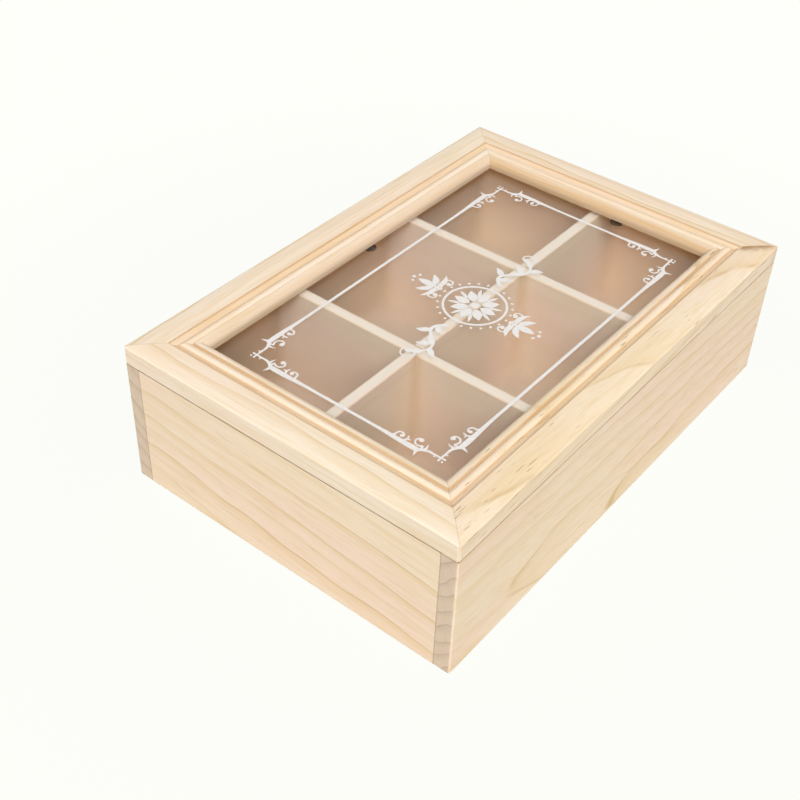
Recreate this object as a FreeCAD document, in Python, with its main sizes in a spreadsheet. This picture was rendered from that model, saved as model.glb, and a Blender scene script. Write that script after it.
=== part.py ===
import FreeCAD, Part
import math
import os
import re
import Sketcher

# Pine compartment box with a glazed lid on two small butt hinges.
# The origin is the centre of the base, on the table. X runs along the long side, Y from the front
# to the hinge side, and Z up. Left and right are those of a person who faces the front.

# Driving sizes in millimetres, one sheet cell each.
SIZES = {
    # The box as a whole.
    "box_length": 240.0,
    "box_depth": 166.0,
    "body_height": 61.0,
    "lid_thickness": 9.1,
    # Walls, and how their outer edges are eased.
    "wall_thickness": 7.5,
    "corner_round": 1.0,
    "base_round": 0.8,
    "rim_ease": 0.35,
    # Plywood bottom in its groove.
    "panel_thickness": 3.0,
    "panel_lift": 4.0,
    "panel_groove": 3.0,
    "panel_play": 0.3,
    # Dividers: housed in the walls, halved where they cross.
    "divider_thickness": 5.0,
    "divider_housing": 2.5,
    "divider_drop": 0.3,
    "divider_ease": 0.4,
    # Lid moulding, from the outer edge to the sight edge.
    "rail_width": 23.8,
    "edge_round": 0.9,
    "crown_width": 7.0,
    "crown_drop": 0.6,
    "outer_member": 12.5,
    "step_drop": 0.4,
    "hollow_width": 2.75,
    "hollow_sag": 0.3,
    "bead_width": 4.0,
    "bead_rise": 1.1,
    "bead_depth": 1.6,
    "quirk_width": 0.3,
    "ovolo_width": 3.3,
    "ovolo_fall": 3.2,
    "ovolo_depth": 0.6,
    "rebate_width": 5.5,
    "rebate_depth": 3.6,
    "mitre_ease": 0.8,
    # Pane and the spring tabs that hold it. The front and left tabs are driven deeper than the others.
    "glass_thickness": 2.0,
    "glass_play": 0.5,
    "tab_width": 6.0,
    "tab_thickness": 0.4,
    "tab_reach": 7.6,
    "tab_bite": 6.5,
    "tab_point": 2.0,
    "deep_drive": 2.5,
    "front_tab_offset": 0.0,
    "back_tab_offset": 5.0,
    "left_tab_offset": 0.0,
    "right_tab_offset": 13.0,
    # Corner nails of the lid.
    "nail_setback": 9.0,
    "nail_leg": 5.0,
    "nail_plate": 0.6,
    "nail_height": 6.0,
    # Butt hinges.
    "hinge_spacing": 140.0,
    "hinge_length": 20.0,
    "leaf_depth": 6.0,
    "leaf_thickness": 0.7,
    "knuckle_radius": 1.2,
    "knuckle_gap": 0.3,
    "barrel_gap": 0.3,
    "pin_radius": 0.5,
    "pin_play": 0.05,
    "fit_play": 0.02,
    # Hinge screws.
    "screw_inset": 4.0,
    "screw_radius": 0.7,
    "screw_head_radius": 1.3,
    "screw_head": 0.6,
    "screw_length": 6.0,
    "screw_point": 1.2,
    "screw_sink": 0.05,
    "screw_slot_width": 0.45,
    "screw_slot_depth": 0.35,
    # How far a cutting tool runs past the face it leaves through.
    "overrun": 1.0,
}

# Which way a bent side of an outline bulges.
CONVEX = 1
HOLLOW = -1

# How near two lengths have to be to count as equal, as a share of the larger one.
EQUAL_SHARE = 1e-6

# Places and sizes that follow from the sheet.
HALF_LENGTH = "box_length / 2"
HALF_DEPTH = "box_depth / 2"
END_WALL_LENGTH = "(box_depth - 2 * wall_thickness)"
PANEL_TOP = "(panel_lift + panel_thickness)"
DIVIDER_HEIGHT = f"(body_height - divider_drop - {PANEL_TOP})"
# Three compartments along the box, with two cross dividers between them.
COMPARTMENT_LENGTH = "((box_length - 2 * wall_thickness - 2 * divider_thickness) / 3)"
CROSS_DIVIDER_PLACE = f"({COMPARTMENT_LENGTH} + divider_thickness) / 2"
REBATE_WALL = "(rail_width - rebate_width)"
GLASS_UNDERSIDE = "(rebate_depth - glass_thickness)"
AXIS_OFFSET = "(knuckle_radius + barrel_gap)"
LEAF_REACH = f"(leaf_depth + {AXIS_OFFSET})"
# Each hinge has three knuckles: the box leaf's on the outside, the lid leaf's between them.
KNUCKLE_LENGTH = "(hinge_length / 3)"
SCREW_SETBACK = "leaf_depth / 2"

document = FreeCAD.newDocument("compartment_box")
sheet = document.addObject("Spreadsheet::Sheet", "sizes")
for row, (size_name, size_value) in enumerate(SIZES.items(), start=1):
    sheet.set(f"A{row}", size_name)
    sheet.set(f"B{row}", str(size_value))
    sheet.setAlias(f"B{row}", size_name)
document.recompute()

sub_parts = []


def bound(expression):
    """The expression with every size name pointing at its sheet cell."""
    return re.sub(r"[a-z_]+", lambda word: f"sizes.{word[0]}" if word[0] in SIZES else word[0], expression)


def number(expression):
    """The expression's value at the sheet's present sizes."""
    return float(sheet.evalExpression(bound(expression)))


def bind(thing, **properties):
    """Tie properties of a document object to expressions in size names."""
    for name, expression in properties.items():
        thing.setExpression(name, bound(expression))


def place(thing, x="0", y="0", z="0", turn=0):
    """Set a sub-part's Placement: a turn about Z in degrees, and a base tied to the sheet."""
    spin = FreeCAD.Rotation(FreeCAD.Vector(0, 0, 1), turn)
    thing.Placement = FreeCAD.Placement(FreeCAD.Vector(0, 0, 0), spin)
    for axis, expression in zip("xyz", (x, y, z)):
        thing.setExpression(f"Placement.Base.{axis}", bound(expression))


def finish(thing, label):
    """Name a finished sub-part and put it on the list of files to write."""
    thing.Label = label
    sub_parts.append(thing)
    return thing


def new_body(name):
    return document.addObject("PartDesign::Body", f"{name}_body")


def arc_centre(start, end, radius, side):
    """Centre of the short arc from start to end, on the left of the way for a convex bend."""
    chord = end - start
    half = chord.Length / 2
    away = math.sqrt(max(radius ** 2 - half ** 2, 0.0))
    left = FreeCAD.Vector(-chord.y, chord.x, 0) / chord.Length
    return (start + end) / 2 + left * away * side


def side_geometry(start, end, bend):
    """A straight or bent side, with the ends that hold its start and its finish."""
    if bend is None:
        return Part.LineSegment(start, end), 1, 2
    radius = number(bend[0])
    centre = arc_centre(start, end, radius, bend[1])
    circle = Part.Circle(centre, FreeCAD.Vector(0, 0, 1), radius)
    first, last = (start, end) if bend[1] == CONVEX else (end, start)
    angles = [math.atan2(p.y - centre.y, p.x - centre.x) for p in (first, last)]
    arc = Part.ArcOfCircle(circle, angles[0], angles[1])
    return (arc, 1, 2) if bend[1] == CONVEX else (arc, 2, 1)


def pin_coordinate(sketch, kind, axis, geometry, point, expression):
    """Hold one coordinate of a corner at an expression, or on the sketch's axis where it is zero."""
    if expression == "0":
        sketch.addConstraint(Sketcher.Constraint("PointOnObject", geometry, point, axis))
        return
    constraint = Sketcher.Constraint(kind, -1, 1, geometry, point, number(expression))
    index = sketch.addConstraint(constraint)
    sketch.setExpression(f"Constraints[{index}]", bound(expression))


def attach(body, name, plane, lift):
    """A sketch on one of the body's origin planes, lifted along the plane's normal."""
    sketch = body.newObject("Sketcher::SketchObject", name)
    support = next(f for f in body.Origin.OriginFeatures if f.Role == plane)
    sketch.AttachmentSupport = [(support, "")]
    sketch.MapMode = "FlatFace"
    if lift != "0":
        sketch.setExpression("AttachmentOffset.Base.z", bound(lift))
    return sketch


def outline(body, name, plane, corners, lift="0"):
    """A closed sketch through corners, anticlockwise. A corner is (across, up), with a third entry
    (radius, CONVEX or HOLLOW) where the side that leaves it is an arc."""
    sketch = attach(body, name, plane, lift)
    points = [FreeCAD.Vector(number(c[0]), number(c[1]), 0) for c in corners]
    bends = [c[2] if len(c) > 2 else None for c in corners]
    starts, ends = [], []
    for i, start in enumerate(points):
        geometry, first, last = side_geometry(start, points[(i + 1) % len(points)], bends[i])
        index = sketch.addGeometry(geometry, False)
        starts.append((index, first))
        ends.append((index, last))
    for i, (index, first) in enumerate(starts):
        sketch.addConstraint(Sketcher.Constraint("Coincident", *ends[i - 1], index, first))
        pin_coordinate(sketch, "DistanceX", -2, index, first, corners[i][0])
        pin_coordinate(sketch, "DistanceY", -1, index, first, corners[i][1])
        if bends[i] is not None:
            radius = sketch.addConstraint(Sketcher.Constraint("Radius", index, number(bends[i][0])))
            sketch.setExpression(f"Constraints[{radius}]", bound(bends[i][0]))
    document.recompute()
    return sketch


def circle_sketch(body, name, plane, across, up, radius, lift="0"):
    """A sketch of one circle, with its centre and radius tied to the sheet."""
    sketch = attach(body, name, plane, lift)
    centre = FreeCAD.Vector(number(across), number(up), 0)
    index = sketch.addGeometry(Part.Circle(centre, FreeCAD.Vector(0, 0, 1), number(radius)), False)
    pin_coordinate(sketch, "DistanceX", -2, index, 3, across)
    pin_coordinate(sketch, "DistanceY", -1, index, 3, up)
    held = sketch.addConstraint(Sketcher.Constraint("Radius", index, number(radius)))
    sketch.setExpression(f"Constraints[{held}]", bound(radius))
    document.recompute()
    return sketch


def rectangle(left, front, right, back):
    """Corners of a rectangle, anticlockwise."""
    return [(left, front), (right, front), (right, back), (left, back)]


def pad(body, name, sketch, length, symmetric=False):
    """Material from the sketch along its normal, or half of it each way."""
    feature = body.newObject("PartDesign::Pad", name)
    feature.Profile = sketch
    feature.SideType = "Symmetric" if symmetric else "One side"
    bind(feature, Length=length)
    document.recompute()
    return feature


def pocket(body, name, sketch, length, symmetric=False):
    """Cut along the sketch's normal, or half of the length each way. It has to take material away."""
    before = body.Shape.Volume
    feature = body.newObject("PartDesign::Pocket", name)
    feature.Profile = sketch
    feature.SideType = "Symmetric" if symmetric else "One side"
    feature.Reversed = not symmetric
    bind(feature, Length=length)
    document.recompute()
    if not body.Shape.Volume < before:
        raise RuntimeError(f"{name} cuts nothing from {body.Name}")
    return feature


def cut_up(body, name, corners, from_height, height):
    """A pocket with an outline seen from above, from one height upwards."""
    sketch = outline(body, f"{name}_sketch", "XY_Plane", corners, from_height)
    return pocket(body, name, sketch, height)


def drill_up(body, name, across, up, radius, from_height, depth):
    """A round hole that runs upwards from one height."""
    sketch = circle_sketch(body, f"{name}_sketch", "XY_Plane", across, up, radius, from_height)
    return pocket(body, name, sketch, depth)


def round_edges(body, name, base, radius, wanted):
    """Round the edges of the base feature that the test picks out."""
    picked = [f"Edge{i}" for i, edge in enumerate(base.Shape.Edges, start=1) if wanted(edge)]
    if not picked:
        raise RuntimeError(f"{name} finds no edge on {body.Name}")
    feature = body.newObject("PartDesign::Fillet", name)
    feature.Base = (base, picked)
    bind(feature, Radius=radius)
    document.recompute()
    return feature


def wall_blank(name, length):
    """A wall on its own axes: X along it, Y inwards from its outer face, Z up from the base.
    The base edge is rounded and the rim's outer edge eased."""
    body = new_body(name)
    section = [
        ("base_round", "0"),
        ("wall_thickness", "0"),
        ("wall_thickness", "body_height"),
        ("rim_ease", "body_height"),
        ("0", "body_height - rim_ease"),
        ("0", "base_round", ("base_round", CONVEX)),
    ]
    sketch = outline(body, f"{name}_section", "YZ_Plane", section)
    return body, pad(body, f"{name}_board", sketch, length, symmetric=True)


def groove_for_panel(body, name, half_run):
    """The groove that holds the bottom panel, along half_run each way from the wall's middle."""
    inner = "wall_thickness - panel_groove"
    corners = rectangle(f"-({half_run})", inner, half_run, "wall_thickness + overrun")
    cut_up(body, f"{name}_panel_groove", corners, "panel_lift", "panel_thickness")


def house_divider(body, name, middle):
    """The upright housing for a divider's end, open at the rim."""
    corners = rectangle(
        f"{middle} - divider_thickness / 2",
        "wall_thickness - divider_housing",
        f"{middle} + divider_thickness / 2",
        "wall_thickness + overrun",
    )
    cut_up(body, f"{name}_housing", corners, PANEL_TOP, f"body_height - {PANEL_TOP} + overrun")


def long_wall(name):
    """A long wall, rounded where it turns the box's corners, with a stopped panel groove and a
    housing for each cross divider."""
    body, board = wall_blank(name, "box_length")
    near = number(HALF_LENGTH) * EQUAL_SHARE

    def on_box_corner(edge):
        """Whether an edge stands upright on the outer face, as only the two end corners do."""
        upright = abs(edge.BoundBox.ZLength - edge.Length) < near
        return upright and abs(edge.BoundBox.Center.y) < near

    round_edges(body, f"{name}_corners", board, "corner_round", on_box_corner)
    groove_for_panel(body, name, f"{HALF_LENGTH} - wall_thickness + panel_groove")
    for side, sign in (("left", "-"), ("right", "")):
        house_divider(body, f"{name}_{side}", f"{sign}{CROSS_DIVIDER_PLACE}")
    return body


def front_wall():
    body = long_wall("front_wall")
    place(body, y=f"-{HALF_DEPTH}")
    finish(body, "front_wall")


def mortise(body, name, middle, from_height):
    """The shallow seat of one hinge leaf, open at the outer face."""
    corners = rectangle(
        f"{middle} - hinge_length / 2", "-overrun", f"{middle} + hinge_length / 2", "leaf_depth"
    )
    cut_up(body, f"{name}_mortise", corners, from_height, "leaf_thickness")


def hinge_middles():
    """The hinges' names, and their middles along the back."""
    return (("hinge_left", "-hinge_spacing / 2"), ("hinge_right", "hinge_spacing / 2"))


def screw_places(middle):
    """The two screws of a leaf, set in from its ends: number and place along the back."""
    from_middle = "(hinge_length / 2 - screw_inset)"
    return ((1, f"{middle} - {from_middle}"), (2, f"{middle} + {from_middle}"))


def back_wall():
    """The hinge side: leaf seats in the rim, with a pilot hole under each screw."""
    body = long_wall("back_wall")
    for hinge, middle in hinge_middles():
        mortise(body, f"back_wall_{hinge}", middle, "body_height - leaf_thickness")
        for count, along in screw_places(middle):
            drill_up(
                body, f"back_wall_{hinge}_pilot_{count}", along, SCREW_SETBACK,
                "screw_radius + fit_play", "body_height - screw_length", "screw_length + overrun",
            )
    place(body, y=HALF_DEPTH, turn=180)
    finish(body, "back_wall")


def end_wall(name, x, turn):
    """A short wall between the long ones, with a housing for the long divider."""
    body, _ = wall_blank(name, END_WALL_LENGTH)
    groove_for_panel(body, name, f"{END_WALL_LENGTH} / 2 + overrun")
    house_divider(body, name, "0")
    place(body, x=x, turn=turn)
    finish(body, name)


def flat_board(name, length, depth, thickness, z):
    """A plain sheet, centred on the box."""
    board = document.addObject("Part::Box", f"{name}_sheet")
    bind(board, Length=length, Width=depth, Height=thickness)
    place(board, x=f"-({length}) / 2", y=f"-({depth}) / 2", z=z)
    finish(board, name)


def bottom_panel():
    reach = "2 * (wall_thickness - panel_groove + panel_play)"
    flat_board(
        "bottom_panel", f"box_length - {reach}", f"box_depth - {reach}", "panel_thickness", "panel_lift"
    )


def divider_blank(name, length):
    """A divider on its own axes: X along it, Z up from the bottom panel, its top edges eased."""
    body = new_body(name)
    half = "divider_thickness / 2"
    section = [
        (f"-{half}", "0"),
        (half, "0"),
        (half, f"{DIVIDER_HEIGHT} - divider_ease"),
        (f"{half} - divider_ease", DIVIDER_HEIGHT),
        (f"divider_ease - {half}", DIVIDER_HEIGHT),
        (f"-{half}", f"{DIVIDER_HEIGHT} - divider_ease"),
    ]
    sketch = outline(body, f"{name}_section", "YZ_Plane", section)
    pad(body, f"{name}_board", sketch, length, symmetric=True)
    return body


def halving(body, name, middle, from_height, height):
    """A slot across a divider, as wide as the divider that crosses it there."""
    half = "divider_thickness / 2"
    corners = rectangle(
        f"{middle} - {half}", f"-{half} - overrun", f"{middle} + {half}", f"{half} + overrun"
    )
    cut_up(body, f"{name}_halving", corners, from_height, height)


def long_divider():
    """The divider along the box, slotted from above for the two cross dividers."""
    body = divider_blank("long_divider", "box_length - 2 * (wall_thickness - divider_housing)")
    for side, sign in (("left", "-"), ("right", "")):
        halving(
            body, f"long_divider_{side}", f"{sign}{CROSS_DIVIDER_PLACE}",
            f"{DIVIDER_HEIGHT} / 2", f"{DIVIDER_HEIGHT} / 2 + overrun",
        )
    place(body, z=PANEL_TOP)
    finish(body, "long_divider")


def cross_divider(name, x):
    """A divider across the box, slotted from below."""
    body = divider_blank(name, "box_depth - 2 * (wall_thickness - divider_housing)")
    halving(body, name, "0", "-overrun", f"{DIVIDER_HEIGHT} / 2 + overrun")
    place(body, x=x, z=PANEL_TOP, turn=90)
    finish(body, name)


def moulding_section():
    """The lid moulding's section, from the outer face to the sight edge, seen along the rail: a
    crowned outer member, a step into a hollow, a bead, a quirk and an ovolo over the glass rebate."""
    top = "lid_thickness"
    bead_seat = f"{top} - bead_depth"
    bead_start = "outer_member + hollow_width"
    bead_end = f"{bead_start} + bead_width"
    ovolo_top = f"{top} - ovolo_depth"
    crown_edge = f"{top} - crown_drop"
    hollow_fall = "(bead_depth - step_drop)"
    hollow_chord = f"(hollow_width ^ 2 + {hollow_fall} ^ 2)"
    ovolo_radius = "(ovolo_width ^ 2 + ovolo_fall ^ 2) / (2 * ovolo_fall)"
    bead_radius = "(bead_width ^ 2 / 4 + bead_rise ^ 2) / (2 * bead_rise)"
    hollow_radius = f"({hollow_chord} / 4 + hollow_sag ^ 2) / (2 * hollow_sag)"
    crown_span = "(crown_width - edge_round)"
    crown_radius = f"({crown_span} ^ 2 + crown_drop ^ 2) / (2 * crown_drop)"
    return [
        ("rim_ease", "0"),
        (REBATE_WALL, "0"),
        (REBATE_WALL, "rebate_depth"),
        ("rail_width", "rebate_depth"),
        ("rail_width", f"{ovolo_top} - ovolo_fall", (ovolo_radius, CONVEX)),
        ("rail_width - ovolo_width", ovolo_top),
        (f"{bead_end} + quirk_width", ovolo_top),
        (bead_end, bead_seat, (bead_radius, CONVEX)),
        (bead_start, bead_seat, (hollow_radius, HOLLOW)),
        ("outer_member", f"{top} - step_drop"),
        ("outer_member", top),
        ("crown_width", top, (crown_radius, CONVEX)),
        ("edge_round", crown_edge, ("edge_round", CONVEX)),
        ("0", f"{crown_edge} - edge_round"),
        ("0", "rim_ease"),
    ]


def mitre_waste(half_length, side):
    """The triangle sawn off one end of a rail, with the outer corner's tip eased away."""
    sign = "-" if side < 0 else ""
    corners = [
        (f"{sign}({half_length} - mitre_ease - overrun)", "-overrun"),
        (f"{sign}({half_length} + overrun)", "-overrun"),
        (f"{sign}({half_length} + overrun)", "rail_width + overrun"),
        (f"{sign}({half_length} - rail_width - overrun)", "rail_width + overrun"),
        (f"{sign}({half_length} - mitre_ease / 2)", "mitre_ease / 2"),
    ]
    return corners if side > 0 else corners[::-1]


def nail_outline(half_length, side):
    """The V-nail's two legs at one end of a rail, seen from above, its bend on the mitre."""
    sign = "-" if side < 0 else ""
    bend = f"{half_length} - nail_setback"
    half = "nail_plate / 2"
    corners = [
        (f"{sign}({bend} + {half})", f"nail_setback - {half}"),
        (f"{sign}({bend} + {half})", "nail_setback + nail_leg"),
        (f"{sign}({bend} - {half})", "nail_setback + nail_leg"),
        (f"{sign}({bend} - {half})", f"nail_setback + {half}"),
        (f"{sign}({bend} - nail_leg)", f"nail_setback + {half}"),
        (f"{sign}({bend} - nail_leg)", f"nail_setback - {half}"),
    ]
    return corners if side > 0 else corners[::-1]


def tab_outline(middle, drive):
    """A spring tab seen from above: a point driven into the rebate's wall, a body as wide as the
    tab, and a rounded end over the glass. Drive is how much deeper than usual it goes in."""
    left = f"{middle} - tab_width / 2"
    right = f"{middle} + tab_width / 2"
    point = f"{REBATE_WALL} - {drive} - tab_bite"
    tip = f"{REBATE_WALL} - {drive} + tab_reach"
    shoulder = f"{point} + tab_point"
    neck = f"{tip} - tab_width / 2"
    return [
        (left, shoulder),
        (middle, point),
        (right, shoulder),
        (right, neck, ("tab_width / 2", CONVEX)),
        (middle, tip, ("tab_width / 2", CONVEX)),
        (left, neck),
    ]


def lid_rail(name, length):
    """One mitred length of the moulding on its own axes: X along it, Y inwards from the outer face,
    Z up from the lid's underside. Both corner nails' slots are cut."""
    body = new_body(name)
    sketch = outline(body, f"{name}_section", "YZ_Plane", moulding_section())
    pad(body, f"{name}_stick", sketch, length, symmetric=True)
    half = f"{length} / 2"
    for end, side in (("left", -1), ("right", 1)):
        cut_up(
            body, f"{name}_{end}_mitre", mitre_waste(half, side), "-overrun", "lid_thickness + 2 * overrun"
        )
        cut_up(body, f"{name}_{end}_nail_slot", nail_outline(half, side), "-overrun", "nail_height + overrun")
    return body


def tab_and_slot(rail, name, middle, drive, **seat):
    """The slot for a spring tab in its rail, and the tab itself in the same place."""
    underside = f"{GLASS_UNDERSIDE} - tab_thickness"
    cut_up(rail, f"{name}_slot", tab_outline(middle, drive), underside, "tab_thickness")
    body = new_body(name)
    sketch = outline(body, f"{name}_outline", "XY_Plane", tab_outline(middle, drive), underside)
    pad(body, f"{name}_strip", sketch, "tab_thickness")
    place(body, **seat)
    finish(body, name)


def lid_frame():
    """Four mitred rails on the rim, each with its tab. A tab's place counts along its rail, to the
    right on the front and back, and to the front on the sides."""
    rails = (
        ("front", "box_length", "front_tab_offset", "deep_drive", {"y": f"-{HALF_DEPTH}", "turn": 0}),
        ("back", "box_length", "-back_tab_offset", "0", {"y": HALF_DEPTH, "turn": 180}),
        ("left", "box_depth", "left_tab_offset", "deep_drive", {"x": f"-{HALF_LENGTH}", "turn": -90}),
        ("right", "box_depth", "-right_tab_offset", "0", {"x": HALF_LENGTH, "turn": 90}),
    )
    for side, length, middle, drive, seat in rails:
        name = f"lid_{side}_rail"
        body = lid_rail(name, length)
        if side == "back":
            for hinge, along in hinge_middles():
                mortise(body, f"{name}_{hinge}", along, "0")
                for count, screw_along in screw_places(along):
                    drill_up(
                        body, f"{name}_{hinge}_pilot_{count}", screw_along, SCREW_SETBACK,
                        "screw_radius + fit_play", "-overrun", "screw_length + overrun",
                    )
        tab_and_slot(body, f"glass_tab_{side}", middle, drive, z="body_height", **seat)
        place(body, z="body_height", **seat)
        finish(body, name)


def glass_pane():
    reach = f"2 * ({REBATE_WALL} + glass_play)"
    flat_board(
        "glass_pane", f"box_length - {reach}", f"box_depth - {reach}",
        "glass_thickness", f"body_height + {GLASS_UNDERSIDE}",
    )


def corner_nails():
    """A V-nail up from the lid's underside at each corner of the frame."""
    for depth_side, y, turn in (("front", f"-{HALF_DEPTH}", 0), ("back", HALF_DEPTH, 180)):
        for end, side in (("left", -1), ("right", 1)):
            name = f"v_nail_{depth_side}_{end}"
            end_seen = side if turn == 0 else -side
            body = new_body(name)
            sketch = outline(body, f"{name}_outline", "XY_Plane", nail_outline(HALF_LENGTH, end_seen))
            pad(body, f"{name}_plates", sketch, "nail_height")
            place(body, y=y, z="body_height", turn=turn)
            finish(body, name)


def leaf_plan(is_lid_leaf):
    """A leaf seen from above on the hinge's axes, cleared for the other leaf's knuckles."""
    half = "hinge_length / 2"
    shoulder = f"-{AXIS_OFFSET}"
    inner = f"{KNUCKLE_LENGTH} / 2"
    back = f"-{LEAF_REACH}"
    if is_lid_leaf:
        tongue = f"({inner} - knuckle_gap / 2)"
        return [
            (f"-{half}", back), (half, back), (half, shoulder), (tongue, shoulder),
            (tongue, "0"), (f"-{tongue}", "0"), (f"-{tongue}", shoulder), (f"-{half}", shoulder),
        ]
    notch = f"({inner} + knuckle_gap / 2)"
    return [
        (f"-{half}", back), (half, back), (half, "0"), (notch, "0"),
        (notch, shoulder), (f"-{notch}", shoulder), (f"-{notch}", "0"), (f"-{half}", "0"),
    ]


def knuckle_spans(is_lid_leaf):
    """The knuckles of a leaf: name, start along the axis, and length."""
    inner = f"{KNUCKLE_LENGTH} / 2"
    if is_lid_leaf:
        return (("middle", f"-({inner} - knuckle_gap / 2)", f"{KNUCKLE_LENGTH} - knuckle_gap"),)
    outer_length = f"{KNUCKLE_LENGTH} - knuckle_gap / 2"
    return (
        ("left", "-hinge_length / 2", outer_length),
        ("right", f"{inner} + knuckle_gap / 2", outer_length),
    )


def hinge_leaf(hinge, middle, is_lid_leaf):
    """A leaf let into the seam: a flat plate, its knuckles round the pin, and countersunk holes.
    The axes are the hinge's own, X along the pin and Y away from the box."""
    name = f"{hinge}_lid_leaf" if is_lid_leaf else f"{hinge}_box_leaf"
    body = new_body(name)
    plate_from = "0" if is_lid_leaf else "-leaf_thickness"
    plan = outline(body, f"{name}_plan", "XY_Plane", leaf_plan(is_lid_leaf), plate_from)
    pad(body, f"{name}_plate", plan, "leaf_thickness")
    for side, start, length in knuckle_spans(is_lid_leaf):
        ring = circle_sketch(body, f"{name}_{side}_ring", "YZ_Plane", "0", "0", "knuckle_radius", start)
        pad(body, f"{name}_{side}_knuckle", ring, length)
    play = "pin_play" if is_lid_leaf else "fit_play"
    bore = circle_sketch(body, f"{name}_bore_ring", "YZ_Plane", "0", "0", f"pin_radius + {play}")
    pocket(body, f"{name}_bore", bore, "hinge_length + overrun", symmetric=True)
    for count, along in screw_places("0"):
        countersink(body, f"{name}_hole_{count}", along, is_lid_leaf)
    place(body, x=middle, y=f"{HALF_DEPTH} + {AXIS_OFFSET}", z="body_height")
    finish(body, name)


def countersink(body, name, along, is_lid_leaf):
    """A screw hole through a leaf: the shank's bore, with a cone for the head at the seam."""
    setback = f"-{AXIS_OFFSET} - {SCREW_SETBACK}"
    drill_up(
        body, name, along, setback, "screw_radius + fit_play", "-leaf_thickness - overrun",
        "2 * (leaf_thickness + overrun)",
    )
    seam, deep = ("Radius1", "Radius2") if is_lid_leaf else ("Radius2", "Radius1")
    before = body.Shape.Volume
    cone = body.newObject("PartDesign::SubtractiveCone", f"{name}_cone")
    bind(cone, Height="screw_head + screw_sink")
    cone.setExpression(seam, bound("screw_head_radius + fit_play + screw_sink"))
    cone.setExpression(deep, bound("screw_radius + fit_play"))
    support = next(f for f in body.Origin.OriginFeatures if f.Role == "XY_Plane")
    cone.AttachmentSupport = [(support, "")]
    cone.MapMode = "FlatFace"
    start = "0" if is_lid_leaf else "-(screw_head + screw_sink)"
    for axis, expression in zip("xyz", (along, setback, start)):
        cone.setExpression(f"AttachmentOffset.Base.{axis}", bound(expression))
    document.recompute()
    if not body.Shape.Volume < before:
        raise RuntimeError(f"{name} has no countersink")


def hinge_pin(hinge, middle):
    """The pin through the three knuckles."""
    pin = document.addObject("Part::Cylinder", f"{hinge}_pin_rod")
    bind(pin, Radius="pin_radius", Height="hinge_length")
    along_x = FreeCAD.Rotation(FreeCAD.Vector(0, 1, 0), 90)
    pin.Placement = FreeCAD.Placement(FreeCAD.Vector(0, 0, 0), along_x)
    base = (f"{middle} - hinge_length / 2", f"{HALF_DEPTH} + {AXIS_OFFSET}", "body_height")
    for axis, expression in zip("xyz", base):
        pin.setExpression(f"Placement.Base.{axis}", bound(expression))
    finish(pin, f"{hinge}_pin")


def hinge_screw(name, along, points_up):
    """A countersunk wood screw, turned about its axis, its slotted head just below the seam."""
    body = new_body(name)
    head_at = "screw_sink"
    shank_end = "screw_length - screw_point"
    half_section = [
        ("0", head_at),
        ("screw_head_radius", head_at),
        ("screw_radius", f"{head_at} + screw_head"),
        ("screw_radius", shank_end),
        ("0", "screw_length"),
    ]
    sketch = outline(body, f"{name}_half_section", "XZ_Plane", half_section)
    turned = body.newObject("PartDesign::Revolution", f"{name}_turned")
    turned.Profile = sketch
    turned.ReferenceAxis = (sketch, ["V_Axis"])
    document.recompute()
    slot = rectangle(
        "-(screw_head_radius + overrun)", "-screw_slot_width / 2",
        "screw_head_radius + overrun", "screw_slot_width / 2",
    )
    cut_up(body, f"{name}_slot", slot, f"{head_at} - overrun", "screw_slot_depth + overrun")
    place(body, x=along, y=f"{HALF_DEPTH} - {SCREW_SETBACK}", z="body_height")
    if not points_up:
        downwards = FreeCAD.Rotation(FreeCAD.Vector(1, 0, 0), 180)
        body.Placement = FreeCAD.Placement(body.Placement.Base, downwards)
    finish(body, name)


def hinges():
    """Both hinges, each with two leaves, a pin and four screws."""
    for hinge, middle in hinge_middles():
        hinge_leaf(hinge, middle, is_lid_leaf=False)
        hinge_leaf(hinge, middle, is_lid_leaf=True)
        hinge_pin(hinge, middle)
        for count, along in screw_places(middle):
            hinge_screw(f"{hinge}_box_screw_{count}", along, points_up=False)
            hinge_screw(f"{hinge}_lid_screw_{count}", along, points_up=True)


def write_parts():
    """Check every object and every sub-part's shape, then write one file for each sub-part."""
    document.recompute()
    failed = [o.Name for o in document.Objects if {"Invalid", "Error"} & set(o.State)]
    bad = [p.Label for p in sub_parts if p.Shape.isNull() or not p.Shape.isValid()]
    if failed or bad:
        raise RuntimeError(f"failed objects {failed}, bad shapes {bad}")
    os.makedirs("parts", exist_ok=True)
    for part in sub_parts:
        part.Shape.exportStep(f"parts/{part.Label}.step")
    print(f"{len(sub_parts)} sub-parts written")


front_wall()
back_wall()
end_wall("left_end_wall", f"-{HALF_LENGTH}", -90)
end_wall("right_end_wall", HALF_LENGTH, 90)
bottom_panel()
long_divider()
cross_divider("cross_divider_left", f"-{CROSS_DIVIDER_PLACE}")
cross_divider("cross_divider_right", CROSS_DIVIDER_PLACE)
lid_frame()
glass_pane()
corner_nails()
hinges()
write_parts()
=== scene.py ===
import math

import bpy
import numpy as np
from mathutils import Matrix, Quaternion, Vector


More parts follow.
